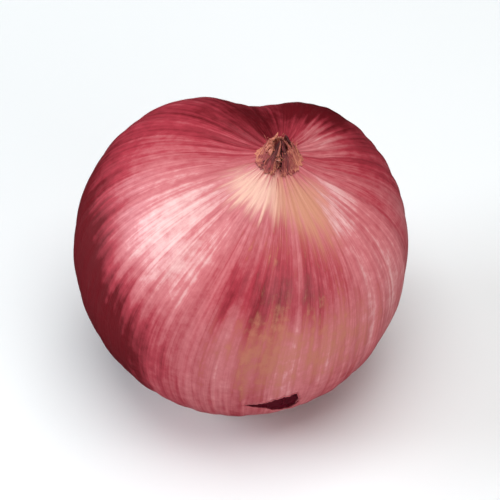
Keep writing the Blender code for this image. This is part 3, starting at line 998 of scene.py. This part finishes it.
def hem_flap(form, root, draw, place):
    """One torn end of the skin, which hangs a little away from the body over the plate's rim."""
    across = np.linspace(-1.0, 1.0, 15)[None, :]
    down = np.linspace(0.0, 1.0, 12)[:, None]
    middle = TURN * (place + draw.uniform(-0.25, 0.25)) / root.hem_flaps
    half = draw.uniform(0.16, 0.30)
    ragged = 0.65 + 0.35 * ripples(draw, across * 2.0, 0.0, (3, 13), 0.0)
    start = draw.uniform(0.0060, 0.0085) + 0.00045 * ripples(draw, across * 2.0, 0.0, (1, 6), 0.0)
    end = 0.0042
    radius = between(start, end, down * ragged * (1.0 - 0.45 * np.abs(across) ** 2))
    azimuth = middle + half * across
    away = 0.00002 + draw.uniform(0.0001, 0.0004) * down ** 2
    height = np.maximum(underside(form, radius) - away, 0.0002)
    grid = upright_point(form, radius, azimuth, height)
    tints = draw.uniform(-0.2, 0.3) + 0.9 * (1.0 - down[::-1])
    return paper(grid[::-1], root.hem_thickness, tints, draw.uniform(0.0, 40.0))


class SHALLOT_OT_skin(bpy.types.Operator):
    """Grow the papery outer skin over the bulb"""

    bl_idname = "shallot.skin"
    bl_label = "Outer skin"

    def execute(self, context):
        scene = context.scene
        make_skin(scene.shallot_form, scene.shallot_skin, scene.shallot_neck)
        return {"FINISHED"}


class SHALLOT_OT_tear(bpy.types.Operator):
    """Curl the dried edges of the slit in the skin"""

    bl_idname = "shallot.tear"
    bl_label = "Torn slit"

    def execute(self, context):
        scene = context.scene
        make_tear(scene.shallot_form, scene.shallot_skin, scene.shallot_neck)
        return {"FINISHED"}


class SHALLOT_OT_neck(bpy.types.Operator):
    """Wrap the neck in its withered papers, round a dark core"""

    bl_idname = "shallot.neck"
    bl_label = "Dried neck"

    def execute(self, context):
        make_neck(context.scene.shallot_form, context.scene.shallot_neck)
        return {"FINISHED"}


class SHALLOT_OT_root(bpy.types.Operator):
    """Set the corky plate, its rootlets and the skin's torn hem"""

    bl_idname = "shallot.root"
    bl_label = "Root plate and rootlets"

    def execute(self, context):
        make_root(context.scene.shallot_form, context.scene.shallot_root)
        return {"FINISHED"}


class SHALLOT_OT_stage(bpy.types.Operator):
    """Set the pale floor, the soft lights and the camera"""

    bl_idname = "shallot.stage"
    bl_label = "Stage"

    def execute(self, context):
        setting = context.scene.shallot_stage
        make_floor(setting)
        make_lights(context, setting)
        make_camera(context, setting)
        return {"FINISHED"}


def make_floor(setting):
    """A round board whose rim curves up a little, far out of sight."""
    rings, segments = 24, 96
    share = np.linspace(0.0, 1.0, rings)[:, None]
    azimuth = around(segments)
    radius = setting.floor_radius * between(0.001, 1.0, share ** 2)
    height = 0.02 * smooth((share - 0.9) / 0.1)
    points = np.stack([
        radius * np.cos(azimuth), radius * np.sin(azimuth), height + 0.0 * azimuth,
    ], axis=-1)
    mesh = bpy.data.meshes.new("floor")
    faces = [*ring_faces(rings, segments).tolist(), list(range(segments))[::-1]]
    mesh.from_pydata(points.reshape(-1, 3).tolist(), [], faces)
    mesh.shade_smooth()
    mesh.materials.append(white_board(setting))
    floor = bpy.data.objects.new("floor", mesh)
    bpy.context.scene.collection.objects.link(floor)
    # A mirrored white floor would wash out the deep crimson of the lower flanks
    floor.visible_glossy = False


def aim(holder, target):
    """Turns a light or camera to look at a point."""
    holder.rotation_mode = "QUATERNION"
    holder.rotation_quaternion = (target - holder.location).to_track_quat("-Z", "Y")


def make_lights(context, setting):
    """A large soft light low on the left, a wide one above, a weak one at the front, and a dim room."""
    middle = (CAD_LOW + CAD_HIGH) / 2
    turn, rise = setting.key_azimuth, setting.key_elevation
    level = math.cos(rise)
    key = Vector((level * math.cos(turn), level * math.sin(turn), math.sin(rise)))
    white = srgb("#ffffff")
    lamps = (
        ("key", middle + setting.key_distance * key, 0.22, 0.20, setting.key_power, setting.key_colour),
        ("top", (0.04, -0.08, 0.62), 0.50, 0.50, setting.top_power, white),
        ("fill", (0.30, -0.42, 0.16), 0.36, 0.28, setting.fill_power, white),
    )
    for name, place, wide, high, power, tone in lamps:
        light = bpy.data.lights.new(name, "AREA")
        light.shape = "RECTANGLE"
        light.size, light.size_y = wide, high
        light.energy, light.color = power, tone[:3]
        lamp = bpy.data.objects.new(name, light)
        lamp.location = Vector(place)
        context.scene.collection.objects.link(lamp)
        aim(lamp, middle)
    world = bpy.data.worlds.new("white room")
    world.use_nodes = True
    tree = world.node_tree
    # The room is white above the table and dark below it
    way = add_node(tree, "ShaderNodeTexCoord", out="Generated")
    above = add_node(tree, "ShaderNodeSeparateXYZ", {"Vector": way}, out="Z")
    strength = add_node(tree, "ShaderNodeMapRange", {0: above, 1: -0.1, 2: 0.5, 3: 0.01, 4: setting.ambient})
    set_inputs(tree, tree.nodes["Background"], {"Color": white, "Strength": strength})
    context.scene.world = world
    context.scene.view_settings.view_transform = "Standard"


def make_camera(context, setting):
    """A long lens that looks down at the bulb from the front."""
    lens = bpy.data.cameras.new("camera")
    lens.lens = lens.sensor_width * setting.camera_distance / setting.frame_width
    camera = bpy.data.objects.new("camera", lens)
    # A point a little to the right of the bulb's axis and below its middle, as the axis leans over
    middle = Vector((0.0010, 0.0, (CAD_LOW.z + CAD_HIGH.z) / 2 - 0.0015))
    tilt = setting.camera_elevation
    camera.location = middle + setting.camera_distance * Vector((0.0, -math.cos(tilt), math.sin(tilt)))
    aim(camera, middle)
    context.scene.collection.objects.link(camera)
    context.scene.camera = camera


class SHALLOT_PT_panel(bpy.types.Panel):
    """Lists the shallot's pieces"""

    bl_label = "Pink shallot"
    bl_space_type = "VIEW_3D"
    bl_region_type = "UI"
    bl_category = "Shallot"

    def draw(self, context):
        for operator in OPERATORS:
            self.layout.operator(operator.bl_idname)


GROUPS = {
    "shallot_form": ShallotForm,
    "shallot_skin": SkinFinish,
    "shallot_neck": NeckFinish,
    "shallot_root": RootFinish,
    "shallot_stage": StageSetting,
}
OPERATORS = (SHALLOT_OT_skin, SHALLOT_OT_tear, SHALLOT_OT_neck, SHALLOT_OT_root, SHALLOT_OT_stage)


def register():
    """Makes the classes and the scene's settings known."""
    for group in (*GROUPS.values(), *OPERATORS, SHALLOT_PT_panel):
        bpy.utils.register_class(group)
    for name, group in GROUPS.items():
        setattr(bpy.types.Scene, name, bpy.props.PointerProperty(type=group))


def unregister():
    """Takes them away again."""
    for name in GROUPS:
        delattr(bpy.types.Scene, name)
    for group in (SHALLOT_PT_panel, *reversed(OPERATORS), *reversed(GROUPS.values())):
        bpy.utils.unregister_class(group)


def main():
    """Makes every piece and the stage."""
    register()
    bpy.ops.shallot.skin()
    bpy.ops.shallot.tear()
    bpy.ops.shallot.neck()
    bpy.ops.shallot.root()
    bpy.ops.shallot.stage()


if __name__ == "__main__":
    main()
